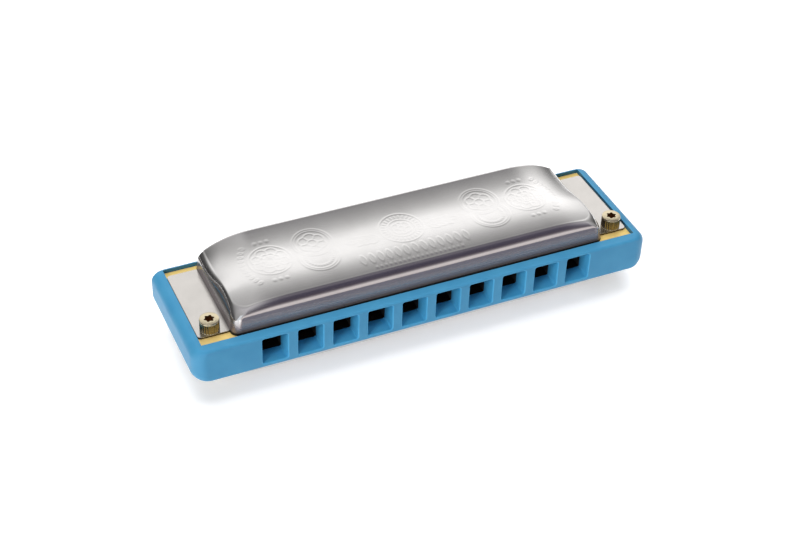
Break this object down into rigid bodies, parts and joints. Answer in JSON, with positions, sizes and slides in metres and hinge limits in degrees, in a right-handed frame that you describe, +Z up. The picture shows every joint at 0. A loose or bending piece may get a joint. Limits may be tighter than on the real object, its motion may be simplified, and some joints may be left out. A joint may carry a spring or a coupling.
{
  "type": "harmonica",
  "caption": "Diatonic harmonica: rounded comb with open mouth holes, brass reed plates with free reeds, and pressed steel covers held by knurled screws.",
  "frame": {"origin": "under the centre of the whole instrument, at the level of the lower cover's crest", "axes": "+X along the row of holes from the first to the last, -Y towards the player, +Z up"},
  "size_m": [0.101, 0.0278, 0.0203],
  "materials": {
    "comb": "blue anodised, satin",
    "cover": "polished, pressed ornament",
    "reed_plate": "satin, plain brass",
    "cover_screws": "nickel-brass, knurled",
    "small_screws": "turned brass",
    "reed": "rolled brass, finely scratched by tuning"
  },
  "bodies": {
    "body": {"comb": "comb", "blow_reed_plate": "reed_plate", "draw_reed_plate": "reed_plate", "top_cover": "cover", "bottom_cover": "cover", "cover_screw_left": "cover_screws", "cover_screw_right": "cover_screws", "cover_nut_left": "cover_screws", "cover_nut_right": "cover_screws", "reed_plate_screws": "small_screws", "blow_reed_feet": "reed", "draw_reed_feet": "reed", "blow_reed_rivets": "small_screws", "draw_reed_rivets": "small_screws"},
    "blow_reed_1": {"blow_reed_1": "reed"},
    "blow_reed_2": {"blow_reed_2": "reed"},
    "blow_reed_3": {"blow_reed_3": "reed"},
    "blow_reed_4": {"blow_reed_4": "reed"},
    "blow_reed_5": {"blow_reed_5": "reed"},
    "blow_reed_6": {"blow_reed_6": "reed"},
    "blow_reed_7": {"blow_reed_7": "reed"},
    "blow_reed_8": {"blow_reed_8": "reed"},
    "blow_reed_9": {"blow_reed_9": "reed"},
    "blow_reed_10": {"blow_reed_10": "reed"},
    "draw_reed_1": {"draw_reed_1": "reed"},
    "draw_reed_2": {"draw_reed_2": "reed"},
    "draw_reed_3": {"draw_reed_3": "reed"},
    "draw_reed_4": {"draw_reed_4": "reed"},
    "draw_reed_5": {"draw_reed_5": "reed"},
    "draw_reed_6": {"draw_reed_6": "reed"},
    "draw_reed_7": {"draw_reed_7": "reed"},
    "draw_reed_8": {"draw_reed_8": "reed"},
    "draw_reed_9": {"draw_reed_9": "reed"},
    "draw_reed_10": {"draw_reed_10": "reed"}
  },
  "joints": [
    {"name": "blow_reed_1_swing", "type": "hinge", "parent": "body", "child": "blow_reed_1", "pos_m": [-0.03375, 0.0078, 0.01226], "axis": [1, 0, 0], "range_deg": [-3, 3], "stiffness_Nm_per_rad": 0.004},
    {"name": "blow_reed_2_swing", "type": "hinge", "parent": "body", "child": "blow_reed_2", "pos_m": [-0.02625, 0.0072, 0.01226], "axis": [1, 0, 0], "range_deg": [-2.9, 2.9], "stiffness_Nm_per_rad": 0.004},
    {"name": "blow_reed_3_swing", "type": "hinge", "parent": "body", "child": "blow_reed_3", "pos_m": [-0.01875, 0.0066, 0.01226], "axis": [1, 0, 0], "range_deg": [-2.8, 2.8], "stiffness_Nm_per_rad": 0.004},
    {"name": "blow_reed_4_swing", "type": "hinge", "parent": "body", "child": "blow_reed_4", "pos_m": [-0.01125, 0.006, 0.01226], "axis": [1, 0, 0], "range_deg": [-2.7, 2.7], "stiffness_Nm_per_rad": 0.004},
    {"name": "blow_reed_5_swing", "type": "hinge", "parent": "body", "child": "blow_reed_5", "pos_m": [-0.00375, 0.0054, 0.01226], "axis": [1, 0, 0], "range_deg": [-2.6, 2.6], "stiffness_Nm_per_rad": 0.004},
    {"name": "blow_reed_6_swing", "type": "hinge", "parent": "body", "child": "blow_reed_6", "pos_m": [0.00375, 0.0048, 0.01226], "axis": [1, 0, 0], "range_deg": [-2.5, 2.5], "stiffness_Nm_per_rad": 0.004},
    {"name": "blow_reed_7_swing", "type": "hinge", "parent": "body", "child": "blow_reed_7", "pos_m": [0.01125, 0.0042, 0.01226], "axis": [1, 0, 0], "range_deg": [-2.4, 2.4], "stiffness_Nm_per_rad": 0.004},
    {"name": "blow_reed_8_swing", "type": "hinge", "parent": "body", "child": "blow_reed_8", "pos_m": [0.01875, 0.0036, 0.01226], "axis": [1, 0, 0], "range_deg": [-2.3, 2.3], "stiffness_Nm_per_rad": 0.004},
    {"name": "blow_reed_9_swing", "type": "hinge", "parent": "body", "child": "blow_reed_9", "pos_m": [0.02625, 0.003, 0.01226], "axis": [1, 0, 0], "range_deg": [-2.2, 2.2], "stiffness_Nm_per_rad": 0.004},
    {"name": "blow_reed_10_swing", "type": "hinge", "parent": "body", "child": "blow_reed_10", "pos_m": [0.03375, 0.0024, 0.01226], "axis": [1, 0, 0], "range_deg": [-2.1, 2.1], "stiffness_Nm_per_rad": 0.004},
    {"name": "draw_reed_1_swing", "type": "hinge", "parent": "body", "child": "draw_reed_1", "pos_m": [-0.03375, -0.0063, 0.00686], "axis": [1, 0, 0], "range_deg": [-3, 3], "stiffness_Nm_per_rad": 0.004},
    {"name": "draw_reed_2_swing", "type": "hinge", "parent": "body", "child": "draw_reed_2", "pos_m": [-0.02625, -0.0063, 0.00686], "axis": [1, 0, 0], "range_deg": [-2.9, 2.9], "stiffness_Nm_per_rad": 0.004},
    {"name": "draw_reed_3_swing", "type": "hinge", "parent": "body", "child": "draw_reed_3", "pos_m": [-0.01875, -0.0063, 0.00686], "axis": [1, 0, 0], "range_deg": [-2.8, 2.8], "stiffness_Nm_per_rad": 0.004},
    {"name": "draw_reed_4_swing", "type": "hinge", "parent": "body", "child": "draw_reed_4", "pos_m": [-0.01125, -0.0063, 0.00686], "axis": [1, 0, 0], "range_deg": [-2.7, 2.7], "stiffness_Nm_per_rad": 0.004},
    {"name": "draw_reed_5_swing", "type": "hinge", "parent": "body", "child": "draw_reed_5", "pos_m": [-0.00375, -0.0063, 0.00686], "axis": [1, 0, 0], "range_deg": [-2.6, 2.6], "stiffness_Nm_per_rad": 0.004},
    {"name": "draw_reed_6_swing", "type": "hinge", "parent": "body", "child": "draw_reed_6", "pos_m": [0.00375, -0.0063, 0.00686], "axis": [1, 0, 0], "range_deg": [-2.5, 2.5], "stiffness_Nm_per_rad": 0.004},
    {"name": "draw_reed_7_swing", "type": "hinge", "parent": "body", "child": "draw_reed_7", "pos_m": [0.01125, -0.0063, 0.00686], "axis": [1, 0, 0], "range_deg": [-2.4, 2.4], "stiffness_Nm_per_rad": 0.004},
    {"name": "draw_reed_8_swing", "type": "hinge", "parent": "body", "child": "draw_reed_8", "pos_m": [0.01875, -0.0063, 0.00686], "axis": [1, 0, 0], "range_deg": [-2.3, 2.3], "stiffness_Nm_per_rad": 0.004},
    {"name": "draw_reed_9_swing", "type": "hinge", "parent": "body", "child": "draw_reed_9", "pos_m": [0.02625, -0.0063, 0.00686], "axis": [1, 0, 0], "range_deg": [-2.2, 2.2], "stiffness_Nm_per_rad": 0.004},
    {"name": "draw_reed_10_swing", "type": "hinge", "parent": "body", "child": "draw_reed_10", "pos_m": [0.03375, -0.0063, 0.00686], "axis": [1, 0, 0], "range_deg": [-2.1, 2.1], "stiffness_Nm_per_rad": 0.004}
  ]
}
